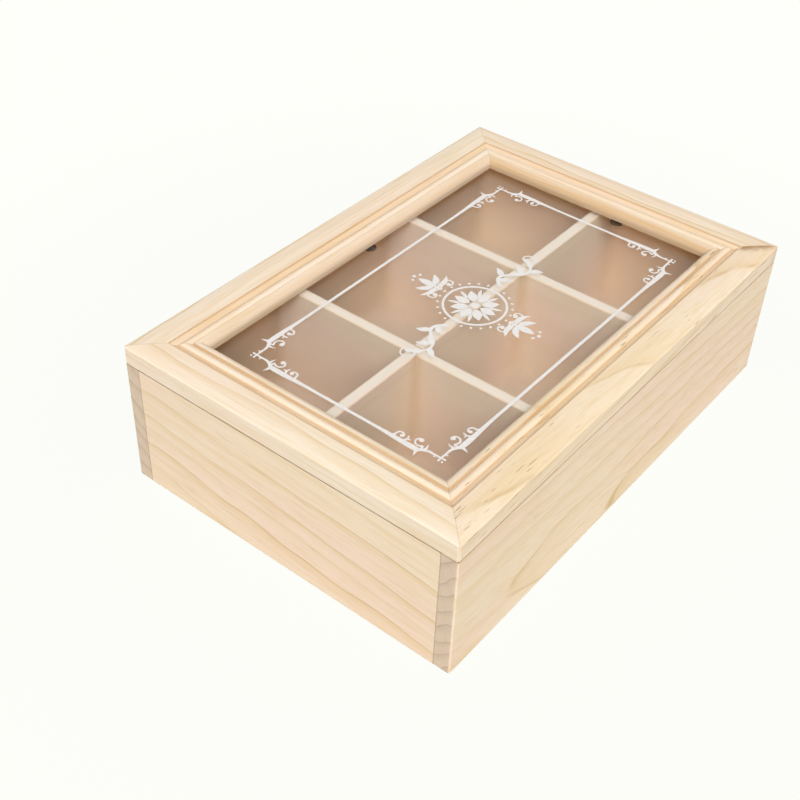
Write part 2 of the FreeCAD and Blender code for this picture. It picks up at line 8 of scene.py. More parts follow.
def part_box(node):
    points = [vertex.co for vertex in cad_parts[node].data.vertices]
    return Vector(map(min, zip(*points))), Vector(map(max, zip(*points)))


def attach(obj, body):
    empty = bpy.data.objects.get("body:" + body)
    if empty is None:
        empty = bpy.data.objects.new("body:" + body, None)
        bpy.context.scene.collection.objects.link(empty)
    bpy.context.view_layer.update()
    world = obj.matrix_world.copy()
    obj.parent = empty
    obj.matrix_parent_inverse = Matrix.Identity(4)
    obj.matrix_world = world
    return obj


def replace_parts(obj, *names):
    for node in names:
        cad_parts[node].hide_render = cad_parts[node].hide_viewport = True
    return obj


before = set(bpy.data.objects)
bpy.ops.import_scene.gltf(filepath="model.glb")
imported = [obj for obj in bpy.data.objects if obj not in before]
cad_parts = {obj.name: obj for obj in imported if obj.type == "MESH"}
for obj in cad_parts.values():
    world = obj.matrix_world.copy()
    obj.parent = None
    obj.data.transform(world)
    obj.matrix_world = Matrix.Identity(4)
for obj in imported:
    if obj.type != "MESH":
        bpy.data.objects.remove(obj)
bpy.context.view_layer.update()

# Pine compartment box with a glazed lid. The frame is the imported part's: metres, the origin at the
# centre of the base, X along the front, Y towards the hinges, Z up. Patterns and the pieces that are
# added to the lid are laid out in millimetres.
MM = 0.001


def extents(node):
    """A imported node's lowest and highest corner, in millimetres."""
    return [np.array(corner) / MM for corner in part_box(node)]


wall_low, wall_high = extents("front_wall")
divider_low, divider_high = extents("cross_divider_right")
pane_low, pane_high = extents("glass_pane")
HALF_LENGTH = wall_high[0]
HALF_DEPTH = -wall_low[1]
WALL = wall_high[1] - wall_low[1]
SEAM = wall_high[2]
DIVIDER = divider_high[0] - divider_low[0]
CROSS_DIVIDER = (divider_low[0] + divider_high[0]) / 2
GLASS_TOP = pane_high[2]


# Small helpers for shader trees


def new_material(name):
    """An empty material and its shader tree."""
    material = bpy.data.materials.new(name)
    material.use_nodes = True
    material.node_tree.nodes.clear()
    return material, material.node_tree


def add(tree, kind, inputs=None, **settings):
    """A node with its settings. An input takes a plain value, or a socket to link it to."""
    node = tree.nodes.new(kind)
    for name, value in settings.items():
        setattr(node, name, value)
    for name, value in (inputs or {}).items():
        if isinstance(value, bpy.types.NodeSocket):
            tree.links.new(value, node.inputs[name])
        else:
            node.inputs[name].default_value = value
    return node


def maths(tree, operation, first, second=0.0):
    """The result of one step of arithmetic."""
    return add(tree, "ShaderNodeMath", {0: first, 1: second}, operation=operation).outputs[0]


def product(tree, first, *others):
    """Values multiplied together."""
    for other in others:
        first = maths(tree, "MULTIPLY", first, other)
    return first


def vector_maths(tree, operation, first, second):
    """The vector that one step of vector arithmetic gives."""
    node = add(tree, "ShaderNodeVectorMath", {0: first, 1: second}, operation=operation)
    return node.outputs["Vector"]


def length(tree, vector):
    """How long a vector is."""
    return add(tree, "ShaderNodeVectorMath", {0: vector}, operation="LENGTH").outputs["Value"]


def stretched(tree, point, along, across):
    """A point scaled by one factor along X and by another across it, so that noise on it streaks."""
    return vector_maths(tree, "MULTIPLY", point, (along, across, across))


def mixed(tree, factor, first, second, blend="MIX"):
    """Two colours mixed by a factor."""
    inputs = {"Factor": factor, 6: first, 7: second}
    return add(tree, "ShaderNodeMix", inputs, data_type="RGBA", blend_type=blend).outputs[2]


def mixed_shader(tree, factor, first, second):
    """Two shaders mixed by a factor."""
    return add(tree, "ShaderNodeMixShader", {0: factor, 1: first, 2: second}).outputs[0]


def noise(tree, point, scale=1.0, detail=2.0, roughness=0.5):
    """Smooth noise from 0 to 1, with its mean near a half."""
    inputs = {"Vector": point, "Scale": scale, "Detail": detail, "Roughness": roughness}
    return add(tree, "ShaderNodeTexNoise", inputs).outputs["Fac"]


def from_to(tree, value, low, high, new_low=0.0, new_high=1.0):
    """A value's place between low and high, carried smoothly to a new span and held at its ends."""
    inputs = {"Value": value, "From Min": low, "From Max": high, "To Min": new_low, "To Max": new_high}
    return add(tree, "ShaderNodeMapRange", inputs, interpolation_type="SMOOTHSTEP").outputs["Result"]


def ramp(tree, factor, stops):
    """A grey value that follows stops of (place, value)."""
    node = add(tree, "ShaderNodeValToRGB", {"Fac": factor})
    elements = node.color_ramp.elements
    while len(elements) < len(stops):
        elements.new(0.5)
    for element, (place, value) in zip(elements, stops):
        element.position = place
        element.color = (value, value, value, 1.0)
    return node.outputs["Color"]


def bumped(tree, height, strength, depth):
    """The normals of a face that a height raises, where a height of 1 stands for depth in millimetres."""
    inputs = {"Height": height, "Strength": strength, "Distance": depth * MM}
    return add(tree, "ShaderNodeBump", inputs).outputs["Normal"]


def place_on_part(tree):
    """The shaded point's place in the part's frame, in metres."""
    return add(tree, "ShaderNodeTexCoord").outputs["Object"]


def coordinates(tree):
    """The shaded point's X, Y and Z, in metres."""
    return add(tree, "ShaderNodeSeparateXYZ", {"Vector": place_on_part(tree)}).outputs


def finish_material(tree, shader):
    """Link a shader to the material's output."""
    add(tree, "ShaderNodeOutputMaterial", {"Surface": shader})


# Pine

EARLY_WOOD = (0.890, 0.735, 0.540, 1.0)
PALE_WOOD = (0.895, 0.770, 0.610, 1.0)
PINK_WOOD = (0.895, 0.705, 0.545, 1.0)
BLUSH_WOOD = (0.905, 0.750, 0.600, 1.0)
LATE_WOOD = (0.760, 0.540, 0.260, 1.0)
LINE_WOOD = (0.530, 0.335, 0.110, 1.0)
DASH_WOOD = (0.250, 0.150, 0.085, 1.0)
END_WOOD = (0.610, 0.480, 0.365, 1.0)
PLANED_EDGE = (0.915, 0.800, 0.690, 1.0)
PLY_FACE = (0.520, 0.405, 0.310, 1.0)
# Painted shade in the lid moulding's hollows.
GROOVE_SHADE_COLOUR = (0.580, 0.330, 0.120, 1.0)
# A painted shadow beside the front-right mitre.
MITRE_SHADOW = (0.360, 0.190, 0.075, 1.0)
INNER_TINT = (1.05, 0.98, 0.93, 1.0)
# Painted shade, orange-brown, on the walls' inner faces towards the rim.
RIM_SHADE_TINT = (1.05, 0.88, 0.74, 1.0)
DIVIDER_TINT = (0.98, 0.95, 0.98, 1.0)

# How far each layer of the figure covers the wood under it, where it is strongest.
LATE_SHARE = 0.50
STREAK_SHARE = 0.30
FIBRE_SHARE = 0.36
LINE_SHARE = 0.62
END_GRAIN_SHARE = 0.68
END_LINE_SHARE = 0.35
CORNER_SHARE = 0.35
TOP_SHARE = 0.85

# Darkness across one growth ring, or one step of the end grain, from its inner to its outer edge.
LATE_STOPS = ((0.0, 0.25), (0.07, 0.0), (0.45, 0.05), (0.80, 0.6), (0.93, 1.0), (1.0, 0.4))
LINE_STOPS = ((0.0, 0.1), (0.010, 0.0), (0.92, 0.0), (0.965, 1.0), (1.0, 0.3))
END_LINE_STOPS = ((0.0, 0.3), (0.05, 0.0), (0.55, 0.0), (0.90, 0.45), (0.95, 1.0), (1.0, 0.6))
END_LINE_SPACING = 8.5

# Where the lid's moulding turns, counted in from the outer face.
STEP = 12.5
BEAD_FOOT = 15.25
QUIRK = 19.4
OVOLO_FOOT = 22.6

# The painted shade lines in the moulding's hollows, where shade falls: the way in, the half width and the
# strength of each.
GROOVE_LINES = ((STEP + 0.15, 0.50, 0.55), (BEAD_FOOT, 0.65, 0.55), (QUIRK, 0.60, 0.48))
# The painted shade spread over the hollow between the step and the bead's foot.
HOLLOW_SPREAD_SHARE = 1.2
HOLLOW_STRENGTH = 0.28

LINE_CORE_SHARE = 0.3
JOINT_HALF_WIDTH = 0.35
# The painted shade of the gap in the seam between the lid and the box.
SEAM_SHADE_HALF_WIDTH = 0.45
SEAM_SHADE_STRENGTH = 0.90
MITRE_STRENGTH = 0.22
BUTT_STRENGTH = 0.45
FACE_MARGIN = 0.2
# The heights where the painted shade on the walls' inner faces starts and where it is full.
RIM_SHADE_FROM = 22.0
RIM_SHADE_TO = 42.0


def log_point(tree, grain, heart, lean, rise):
    """The point in the log that a board was sawn from, in millimetres: X runs along the log, and Y and
    Z are counted from its heart. Lean and rise turn the log against the board, in degrees."""
    turn = lean if grain == "X" else 90.0 + lean
    inputs = {
        "Vector": place_on_part(tree),
        "Location": [MM * c for c in heart],
        "Rotation": (0.0, math.radians(rise), math.radians(turn)),
        "Scale": (MM, MM, MM),
    }
    return add(tree, "ShaderNodeMapping", inputs, vector_type="TEXTURE").outputs["Vector"]


def warp(tree, point, along, across, detail, reach):
    """A shift across the grain, from 0 to reach in millimetres, by noise on the stretched point."""
    inputs = {"Vector": stretched(tree, point, along, across), "Scale": 1.0, "Detail": detail}
    wander = add(tree, "ShaderNodeTexNoise", inputs).outputs["Color"]
    return stretched(tree, wander, along=0.0, across=reach)


def growth_rings(tree, point, spacing):
    """The soft late wood and the fine dark line of each growth ring, both from 0 to 1. The distance
    from the heart, warped by slow and by quicker noise, is cut into rings. A ring darkens slowly
    outwards and ends in a line, each with a strength of the ring's own, and the line comes and goes
    along the grain."""
    slow = warp(tree, point, along=0.006, across=0.030, detail=2.0, reach=9.0)
    quick = warp(tree, point, along=0.030, across=0.070, detail=1.0, reach=2.2)
    warped = vector_maths(tree, "ADD", point, vector_maths(tree, "ADD", slow, quick))
    radius = length(tree, stretched(tree, warped, along=0.0, across=1.0))
    count = maths(tree, "DIVIDE", radius, spacing)
    share = maths(tree, "FRACT", count)
    number = maths(tree, "FLOOR", count)
    own = add(tree, "ShaderNodeTexWhiteNoise", {"W": number}, noise_dimensions="1D").outputs["Value"]
    comes = from_to(tree, noise(tree, stretched(tree, point, along=0.016, across=0.10)), 0.36, 0.58)
    late = product(tree, ramp(tree, share, LATE_STOPS), from_to(tree, own, 0.0, 1.0, new_low=0.20))
    line = product(tree, ramp(tree, share, LINE_STOPS), comes, from_to(tree, own, 0.05, 0.95))
    return late, line


def fibres(tree, point):
    """Fine streaks along the grain, from 0 to 1."""
    return noise(tree, stretched(tree, point, along=0.045, across=1.6), detail=4.0, roughness=0.6)


def streaks(tree, point):
    """Wider soft streaks along the grain, about two millimetres apart, from 0 to 1."""
    return from_to(tree, noise(tree, stretched(tree, point, along=0.030, across=0.50)), 0.45, 0.70)


def flecks(tree, point):
    """Short dark dashes along the grain: the peaks of stretched noise, in some parts of the board
    only."""
    peaks = noise(tree, stretched(tree, point, along=0.050, across=1.7), detail=1.0)
    part = noise(tree, point, scale=0.022, detail=1.0)
    return product(tree, from_to(tree, peaks, 0.67, 0.75), from_to(tree, part, 0.44, 0.58))


def facing(tree, axis):
    """1 where a face looks along an axis, either way, and 0 on the faces beside it."""
    normal = add(tree, "ShaderNodeTexCoord").outputs["Normal"]
    parts = add(tree, "ShaderNodeSeparateXYZ", {"Vector": normal}).outputs
    return from_to(tree, maths(tree, "ABSOLUTE", parts[axis]), 0.75, 0.95)


def hair_line(tree, away, half_width, strength):
    """Strength in a line where a distance is near zero, fading to 0 at its half width."""
    core = LINE_CORE_SHARE * half_width * MM
    return from_to(tree, maths(tree, "ABSOLUTE", away), core, half_width * MM, strength, 0.0)


def ways_in(tree):
    """How far a point lies in from the nearer short face and from the nearer long face, in metres."""
    parts = coordinates(tree)
    from_end = maths(tree, "SUBTRACT", HALF_LENGTH * MM, maths(tree, "ABSOLUTE", parts["X"]))
    from_side = maths(tree, "SUBTRACT", HALF_DEPTH * MM, maths(tree, "ABSOLUTE", parts["Y"]))
    return from_end, from_side


def inner_faces(tree):
    """1 further in from the outer faces than a wall is thick, which is on the walls' inner faces."""
    way_in = maths(tree, "MINIMUM", *ways_in(tree))
    return from_to(tree, way_in, (WALL - 2 * FACE_MARGIN) * MM, (WALL - FACE_MARGIN) * MM)


def joint_lines(tree, joint):
    """How dark the hair lines are where boards meet: painted shade of the gap in the seam under the lid
    on the outer faces, and a mitre, where the ways in from both outer faces are equal, or a butt, at the
    wall's thickness from the long side."""
    from_end, from_side = ways_in(tree)
    to_seam = maths(tree, "SUBTRACT", coordinates(tree)["Z"], SEAM * MM)
    hidden = maths(tree, "MAXIMUM", facing(tree, "Z"), inner_faces(tree))
    # Painted shade in the gap between the lid and the box, on the outer upright faces only.
    seam = hair_line(tree, to_seam, SEAM_SHADE_HALF_WIDTH, SEAM_SHADE_STRENGTH)
    seam = product(tree, seam, maths(tree, "SUBTRACT", 1.0, hidden))
    if joint == "mitre":
        to_mitre = maths(tree, "SUBTRACT", from_end, from_side)
        other = hair_line(tree, to_mitre, JOINT_HALF_WIDTH, MITRE_STRENGTH)
    else:
        to_butt = maths(tree, "SUBTRACT", from_side, WALL * MM)
        other = hair_line(tree, to_butt, JOINT_HALF_WIDTH, BUTT_STRENGTH)
    return maths(tree, "MAXIMUM", seam, other)


def groove_shade(tree, lip_shade):
    """Painted shade in the lid's moulding, where its hollows keep the light off: fine lines at the step,
    the bead's foot and the quirk, a faint shade between the first two, and one that deepens to the lip
    shade at the glass."""
    way_in = maths(tree, "MINIMUM", *ways_in(tree))
    half_hollow = (BEAD_FOOT - STEP) / 2
    in_hollow = maths(tree, "SUBTRACT", way_in, (STEP + half_hollow) * MM)
    shade = hair_line(tree, in_hollow, HOLLOW_SPREAD_SHARE * half_hollow, HOLLOW_STRENGTH)
    for place, half_width, strength in GROOVE_LINES:
        line = hair_line(tree, maths(tree, "SUBTRACT", way_in, place * MM), half_width, strength)
        shade = maths(tree, "MAXIMUM", shade, line)
    glass_side_shade = from_to(tree, way_in, (QUIRK + 0.4) * MM, OVOLO_FOOT * MM, 0.0, lip_shade)
    return maths(tree, "MAXIMUM", shade, glass_side_shade)


def mitre_shadow(tree):
    """A painted shadow on the outer member beside the mitre at the front right: a brown patch strongest
    at the joint, fading along the rail."""
    from_end, from_side = ways_in(tree)
    parts = coordinates(tree)
    corner = maths(tree, "SUBTRACT", parts["X"], parts["Y"])
    right = maths(tree, "GREATER_THAN", corner, HALF_LENGTH * MM)
    uneven = product(tree, noise(tree, place_on_part(tree), scale=160.0), 9.0 * MM)
    along = maths(tree, "SUBTRACT", maths(tree, "SUBTRACT", from_end, from_side), uneven)
    fade = from_to(tree, along, low=-4.5 * MM, high=3.0 * MM, new_low=0.85, new_high=0.0)
    outer = from_to(tree, from_side, (STEP - 1.0) * MM, STEP * MM, new_low=1.0, new_high=0.0)
    clear = from_to(tree, from_side, low=0.0, high=4.0 * MM, new_low=0.25)
    return product(tree, fade, right, outer, clear)


def end_lines(tree):
    """Fine lines that slant across end grain, from 0 to 1: the height plus the way in, warped by noise
    and cut into even steps."""
    across = product(tree, ways_in(tree)[1], 0.75)
    bend = product(tree, noise(tree, place_on_part(tree), scale=60.0), 12.0 * MM)
    slant = maths(tree, "ADD", maths(tree, "ADD", coordinates(tree)["Z"], across), bend)
    share = maths(tree, "FRACT", maths(tree, "DIVIDE", slant, END_LINE_SPACING * MM))
    return ramp(tree, share, END_LINE_STOPS)


def rim_shade(tree):
    """0 on the lower part of the walls, rising to 1 towards the rim: painted shade where the lid's rails
    keep the light off.
    """
    return from_to(tree, coordinates(tree)["Z"], RIM_SHADE_FROM * MM, RIM_SHADE_TO * MM)


def corner_shade(tree):
    """1 in the upright inner corners, fading out beside them by the larger of two distances, one to
    the nearest face across the box and one to the nearest face along it."""
    from_end, from_side = ways_in(tree)
    across = maths(tree, "ABSOLUTE", maths(tree, "SUBTRACT", from_end, WALL * MM))
    from_middle = maths(tree, "SUBTRACT", from_end, (HALF_LENGTH - CROSS_DIVIDER) * MM)
    from_face = maths(tree, "SUBTRACT", maths(tree, "ABSOLUTE", from_middle), DIVIDER / 2 * MM)
    across = maths(tree, "MINIMUM", across, maths(tree, "ABSOLUTE", from_face))
    along = maths(tree, "ABSOLUTE", maths(tree, "SUBTRACT", from_side, WALL * MM))
    to_long_divider = maths(tree, "SUBTRACT", from_side, (HALF_DEPTH - DIVIDER / 2) * MM)
    along = maths(tree, "MINIMUM", along, maths(tree, "ABSOLUTE", to_long_divider))
    away = maths(tree, "MAXIMUM", across, along)
    return from_to(tree, away, low=0.3 * MM, high=5.0 * MM, new_low=1.0, new_high=0.0)


def layered(tree, wood, where, share, colour):
    """Wood with a colour laid over it where a value from 0 to 1 says, by a share at most."""
    return mixed(tree, product(tree, where, share), wood, colour)


def pine(
    name, tones, grain, heart, lean, rise, spacing,
    joint=None, marked=1.0, dashed=0.2, top=None, lip_shade=0.0,
):
    """Bare sanded pine: early wood that drifts between two tones, growth rings of darker late wood
    with fine lines, fibres and flecks, and greyer end grain. Joint darkens the lines where boards
    meet, with painted shade in the seam under the lid. Mitred rails get painted shade in the moulding's
    hollows and a painted shadow beside the front-right mitre; the walls' inner faces get painted shade
    towards the rim, and boards that are not mitred get painted shade in the upright inner corners.
    Marked and dashed say how strongly the figure and the flecks show, top is the colour of faces that
    look up, and the lip shade is the painted shade on a rail's edge beside the glass."""
    material, tree = new_material(name)
    point = log_point(tree, grain, heart, lean, rise)
    late, line = growth_rings(tree, point, spacing)
    fibre = fibres(tree, point)
    drift = noise(tree, stretched(tree, point, along=0.007, across=0.030), detail=1.0)
    wood = mixed(tree, from_to(tree, drift, 0.38, 0.62), *tones)
    wood = layered(tree, wood, late, LATE_SHARE * marked, LATE_WOOD)
    wood = layered(tree, wood, streaks(tree, point), STREAK_SHARE * marked, LATE_WOOD)
    wood = layered(tree, wood, from_to(tree, fibre, 0.42, 0.75), FIBRE_SHARE * marked, LATE_WOOD)
    wood = layered(tree, wood, line, LINE_SHARE * marked, LINE_WOOD)
    wood = layered(tree, wood, flecks(tree, point), dashed, DASH_WOOD)
    sawn = mixed(tree, END_GRAIN_SHARE, wood, END_WOOD)
    sawn = layered(tree, sawn, end_lines(tree), END_LINE_SHARE, DASH_WOOD)
    wood = mixed(tree, facing(tree, grain), wood, sawn)
    if joint == "mitre":
        # Painted shade in the moulding's hollows and on the edge beside the glass.
        wood = mixed(tree, groove_shade(tree, lip_shade), wood, GROOVE_SHADE_COLOUR)
    else:
        lining = DIVIDER_TINT
        if joint == "butt":
            # Painted shade on the walls' inner faces towards the rim.
            lining = mixed(tree, rim_shade(tree), INNER_TINT, RIM_SHADE_TINT)
        wood = mixed(tree, inner_faces(tree), wood, lining, "MULTIPLY")
        wood = layered(tree, wood, corner_shade(tree), CORNER_SHARE, LINE_WOOD)
    if top is not None:
        wood = layered(tree, wood, facing(tree, "Z"), TOP_SHARE, top)
    if joint is not None:
        wood = mixed(tree, joint_lines(tree, joint), wood, DASH_WOOD)
    if joint == "mitre" and grain == "X":
        # Painted shadow beside the front-right mitre.
        wood = mixed(tree, mitre_shadow(tree), wood, MITRE_SHADOW)
    relief = maths(tree, "SUBTRACT", product(tree, fibre, 0.6), product(tree, line, 0.5))
    inputs = {
        "Base Color": wood,
        "Roughness": from_to(tree, fibre, 0.3, 0.7, new_low=0.50, new_high=0.64),
        "Normal": bumped(tree, relief, strength=0.35, depth=0.1),
        "Specular IOR Level": 0.30,
    }
    finish_material(tree, add(tree, "ShaderNodeBsdfPrincipled", inputs).outputs["BSDF"])
    return material


# Other finishes

GLASS_TINT = (0.985, 0.99, 0.985, 1.0)
GLASS_GLOSS = (0.25, 0.25, 0.25, 1.0)
GLASS_SHADOW = (0.95, 0.955, 0.95, 1.0)
THIN_INK = (0.76, 0.73, 0.70, 1.0)
FULL_INK = (0.84, 0.81, 0.78, 1.0)
INK_SHADOW = (0.82, 0.82, 0.82, 1.0)


def hazy_glass():
    """A clear pane with a fine, shallow grain on its faces, which blurs what lies deep in the box and
    hardly what lies near. Lamps shine through it."""
    material, tree = new_material("hazy_glass")
    grain = noise(tree, place_on_part(tree), scale=2500.0, detail=1.0)
    inputs = {
        "Base Color": GLASS_TINT,
        "Transmission Weight": 1.0,
        "Roughness": 0.12,
        "IOR": 1.5,
        "Specular Tint": GLASS_GLOSS,
        "Normal": bumped(tree, grain, strength=1.0, depth=0.03),
    }
    glass = add(tree, "ShaderNodeBsdfPrincipled", inputs).outputs["BSDF"]
    open_way = add(tree, "ShaderNodeBsdfTransparent", {"Color": GLASS_SHADOW}).outputs["BSDF"]
    path = add(tree, "ShaderNodeLightPath").outputs
    inside = mixed_shader(tree, path["Is Diffuse Ray"], glass, open_way)
    finish_material(tree, mixed_shader(tree, path["Is Shadow Ray"], inside, open_way))
    return material


def white_ink():
    """Screen-printed white ink, a little uneven in its cover and so thin that much light passes."""
    material, tree = new_material("white_ink")
    cover = noise(tree, place_on_part(tree), scale=900.0, detail=3.0)
    inputs = {
        "Base Color": mixed(tree, from_to(tree, cover, 0.3, 0.7), THIN_INK, FULL_INK),
        "Roughness": from_to(tree, cover, 0.3, 0.7, new_low=0.5, new_high=0.65),
    }
    film = add(tree, "ShaderNodeBsdfPrincipled", inputs).outputs["BSDF"]
    passed = add(tree, "ShaderNodeBsdfTransparent", {"Color": INK_SHADOW}).outputs["BSDF"]
    shadow = add(tree, "ShaderNodeLightPath").outputs["Is Shadow Ray"]
    finish_material(tree, mixed_shader(tree, shadow, film, passed))
    return material


def worn_metal(name, bright, dull, metallic, rough):
    """Metal whose colour and gloss drift between a bright and a dull state, with fine scratches."""
    material, tree = new_material(name)
    place = place_on_part(tree)
    wear = noise(tree, place, scale=420.0, detail=4.0, roughness=0.65)
    scratch = noise(tree, stretched(tree, place, along=300.0, across=6000.0))
    inputs = {
        "Base Color": mixed(tree, from_to(tree, wear, 0.35, 0.65), bright, dull),
        "Metallic": metallic,
        "Roughness": from_to(tree, wear, 0.3, 0.7, rough - 0.08, rough + 0.10),
        "Normal": bumped(tree, scratch, strength=0.15, depth=0.02),
    }
    finish_material(tree, add(tree, "ShaderNodeBsdfPrincipled", inputs).outputs["BSDF"])
    return material


# The boards, each from its own place in a log

WALL_X = dict(grain="X", joint="butt", tones=(EARLY_WOOD, PINK_WOOD))
WALL_Y = dict(grain="Y", joint="butt", tones=(EARLY_WOOD, PINK_WOOD))
WALL_BOARDS = {
    "front_wall": dict(heart=(0.0, -35.0, 11.0), lean=-4.0, rise=6.5, spacing=6.0, **WALL_X),
    "back_wall": dict(heart=(0.0, 130.0, 34.0), lean=-0.8, rise=-1.0, spacing=5.0, **WALL_X),
    "left_end_wall": dict(heart=(-60.0, 0.0, -12.0), lean=1.5, rise=-3.0, spacing=4.6, **WALL_Y),
    "right_end_wall": dict(heart=(70.0, 0.0, 75.0), lean=-1.0, rise=1.6, spacing=5.0, **WALL_Y),
}
RAIL_X = dict(grain="X", joint="mitre")
RAIL_Y = dict(grain="Y", joint="mitre", tones=(PALE_WOOD, BLUSH_WOOD))
# Each rail's lip shade is painted shade beside the glass: deepest on the right rail, none on the front,
# following where the light falls.
LID_BOARDS = {
    "lid_front_rail": dict(
        heart=(0.0, -60.0, 30.0), lean=-2.0, rise=-3.0, spacing=6.0, dashed=0.85,
        tones=(EARLY_WOOD, BLUSH_WOOD), **RAIL_X,
    ),
    "lid_back_rail": dict(
        heart=(0.0, 120.0, 20.0), lean=-0.6, rise=0.5, spacing=4.0, lip_shade=0.30,
        tones=(PALE_WOOD, BLUSH_WOOD), **RAIL_X,
    ),
    "lid_left_rail": dict(
        heart=(-150.0, 0.0, 30.0), lean=0.7, rise=-0.8, spacing=4.0, lip_shade=0.10, **RAIL_Y,
    ),
    "lid_right_rail": dict(
        heart=(60.0, 0.0, 20.0), lean=-0.5, rise=0.6, spacing=4.5, lip_shade=0.55, **RAIL_Y,
    ),
}
PLANED_X = dict(grain="X", marked=0.6, tones=(EARLY_WOOD, PINK_WOOD), top=PLANED_EDGE)
PLANED_Y = dict(grain="Y", marked=0.6, tones=(EARLY_WOOD, PINK_WOOD), top=PLANED_EDGE)
PLY = dict(grain="X", marked=0.6, tones=(EARLY_WOOD, PINK_WOOD), top=PLY_FACE)
INNER_BOARDS = {
    "long_divider": dict(heart=(0.0, 30.0, 0.0), lean=0.5, rise=1.0, spacing=6.0, **PLANED_X),
    "cross_divider_left": dict(heart=(-20.0, 0.0, 70.0), lean=0.8, rise=-1.0, spacing=6.0, **PLANED_Y),
    "cross_divider_right": dict(heart=(70.0, 0.0, 20.0), lean=-0.6, rise=1.2, spacing=6.0, **PLANED_Y),
    "bottom_panel": dict(heart=(0.0, 10.0, -60.0), lean=2.0, rise=1.5, spacing=6.0, **PLY),
}

# The metal of the nodes whose names start alike.
METALS = {
    "hinge_": dict(
        name="brass", bright=(0.83, 0.62, 0.29, 1.0), dull=(0.66, 0.46, 0.20, 1.0),
        metallic=1.0, rough=0.34,
    ),
    "glass_tab_": dict(
        name="dark_steel", bright=(0.050, 0.040, 0.034, 1.0), dull=(0.025, 0.020, 0.018, 1.0),
        metallic=0.6, rough=0.50,
    ),
    "v_nail_": dict(
        name="bright_steel", bright=(0.62, 0.62, 0.63, 1.0), dull=(0.42, 0.41, 0.40, 1.0),
        metallic=1.0, rough=0.36,
    ),
}


def paint(node, material):
    """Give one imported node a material."""
    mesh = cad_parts[node].data
    mesh.materials.clear()
    mesh.materials.append(material)


def paint_part():
    """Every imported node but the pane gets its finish."""
    for boards in (WALL_BOARDS, LID_BOARDS, INNER_BOARDS):
        for node, sawn in boards.items():
            paint(node, pine(f"pine_{node}", **sawn))
    for start, look in METALS.items():
        metal = worn_metal(**look)
        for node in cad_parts:
            if node.startswith(start):
                paint(node, metal)


# The pane

PANE_CLEARANCE = 0.03
ARRIS = 0.25


def new_piece(name, points, faces, material):
    """A piece from points in millimetres and four-cornered faces, carried by the lid."""
    mesh = bpy.data.meshes.new(name)
    mesh.from_pydata((points * MM).tolist(), [], faces.tolist())
    mesh.materials.append(material)
    piece = bpy.data.objects.new(name, mesh)
    bpy.context.scene.collection.objects.link(piece)
    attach(piece, "lid")
    return piece


def glaze():
    """The glass with its sharp edges taken off: a profile of four steps, each a way in from the edge
    and a height, carried round a rectangle, and closed by a flat face above and below. It is a hair
    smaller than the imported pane, so that it shares no plane with the wood that holds it."""
    low = pane_low + PANE_CLEARANCE
    high = pane_high - PANE_CLEARANCE
    way_in = np.array((ARRIS, 0.0, 0.0, ARRIS))[:, None]
    height = np.array((low[2], low[2] + ARRIS, high[2] - ARRIS, high[2]))
    middle = (low + high)[:2] / 2
    half = (high - low)[:2] / 2
    turn = np.array([(-1, -1), (1, -1), (1, 1), (-1, 1)], float)
    points = np.empty((4, 4, 3))
    points[:, :, :2] = middle + turn * (half - way_in)[:, None]
    points[:, :, 2] = height[:, None]
    ring = 4 * np.arange(3)[:, None] + np.arange(4)
    after = 4 * np.arange(3)[:, None] + np.roll(np.arange(4), -1)
    sides = np.stack([ring, after, after + 4, ring + 4], axis=-1).reshape(-1, 4)
    flats = np.array([(3, 2, 1, 0), (12, 13, 14, 15)])
    faces = np.concatenate([sides, flats])
    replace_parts(new_piece("clear_pane", points.reshape(-1, 3), faces, hazy_glass()), "glass_pane")


# The print on the pane: each stroke is a path of (x, y) points with a half width at each

PRINT_MIDDLE = np.array((-0.9, -2.6))
BORDER_HALF_LENGTH = 86.4
BORDER_HALF_DEPTH = 48.3
LINE_HALF_WIDTH = 0.68
ARM_LENGTH = 34.0
ARM_OVERLAP = 1.0
RUN_POINTS = 12
PETAL_COUNT = 8
RING_RADIUS = 13.6
WREATH_RADIUS = 16.0
WREATH_SPOTS = 24
VINE_START = 18.4
VINE_LENGTH = 23.0
VINE_WAVE = 4.6
VINE_LEAF_LENGTHS = (6.2, 6.6, 6.6, 7.2, 6.6, 5.6)
INK_FILM = 0.03
INK_CLEARANCE = 0.01
LAYER_STEP = 0.0008


def curve(start, lean_out, lean_in, end, count=28):
    """A path from start to end that leaves towards one point and arrives from another: the four points
    weighted by the cubic Bernstein polynomials."""
    t = np.linspace(0.0, 1.0, count)[:, None]
    s = 1.0 - t
    points = [np.asarray(p, float) for p in (start, lean_out, lean_in, end)]
    return s**3 * points[0] + 3 * s**2 * t * points[1] + 3 * s * t**2 * points[2] + t**3 * points[3]


def spiral(middle, wide, tight, from_turn, to_turn, count=48):
    """A path round a middle: the angle runs evenly between two turns in degrees while the radius
    shrinks evenly from wide to tight."""
    t = np.linspace(0.0, 1.0, count)
    angle = np.radians(from_turn + (to_turn - from_turn) * t)
    radius = wide + (tight - wide) * t
    return np.asarray(middle, float) + radius[:, None] * np.column_stack([np.cos(angle), np.sin(angle)])


def even(path, from_width, to_width):
    """A stroke whose half width runs evenly from one end to the other."""
    return path, np.linspace(from_width, to_width, len(path))


def dot(middle, radius, count=24):
    """A round spot: a short path across it, with the half width of a circle's chord at each place."""
    angle = np.linspace(0.04, np.pi - 0.04, count)
    path = np.asarray(middle, float) - np.column_stack([radius * np.cos(angle), np.zeros(count)])
    return path, radius * np.sin(angle)


